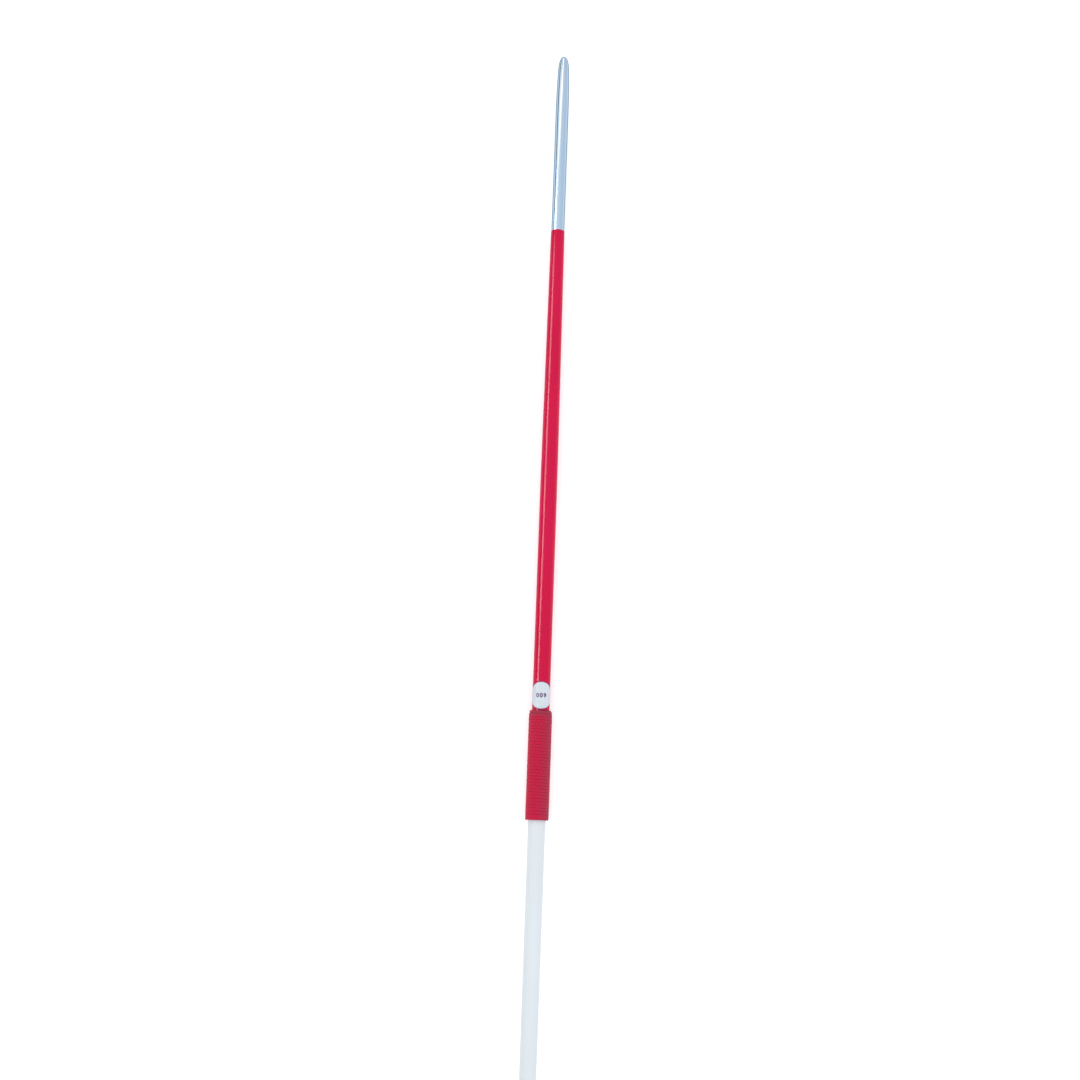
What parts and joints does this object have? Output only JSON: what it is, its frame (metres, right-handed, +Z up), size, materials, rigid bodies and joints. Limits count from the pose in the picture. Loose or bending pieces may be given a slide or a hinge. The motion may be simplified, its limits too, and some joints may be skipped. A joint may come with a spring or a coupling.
{
  "type": "throwing javelin",
  "caption": "Throwing javelin with a blunt steel head, a tapered red and white alloy shaft, a wound red cord grip and a round weight label.",
  "frame": {"origin": "the floor under the middle of the grip, on the flat that the cord is pressed to there, with the javelin lying level", "axes": "+Y along the javelin towards the tip, +Z up through the middle of the label, +X to the right when looking towards the tip"},
  "size_m": [0.0286, 2.25, 0.0284],
  "materials": {
    "head_steel": "satin",
    "inner_alloy": "satin",
    "red_paint": "gloss",
    "white_paint": "gloss",
    "tape_cloth": "matte",
    "red_cord": "matte",
    "label_film": "satin",
    "tail_plastic": "satin"
  },
  "bodies": {
    "root": {"point_tip": "head_steel", "head_tube": "head_steel", "head_spigot": "inner_alloy", "front_shaft": "red_paint", "centre_sleeve": "inner_alloy", "rear_shaft": "white_paint", "grip_tape": "tape_cloth", "grip_cord": "red_cord", "weight_label": "label_film", "tail_plug": "tail_plastic"}
  },
  "joints": []
}
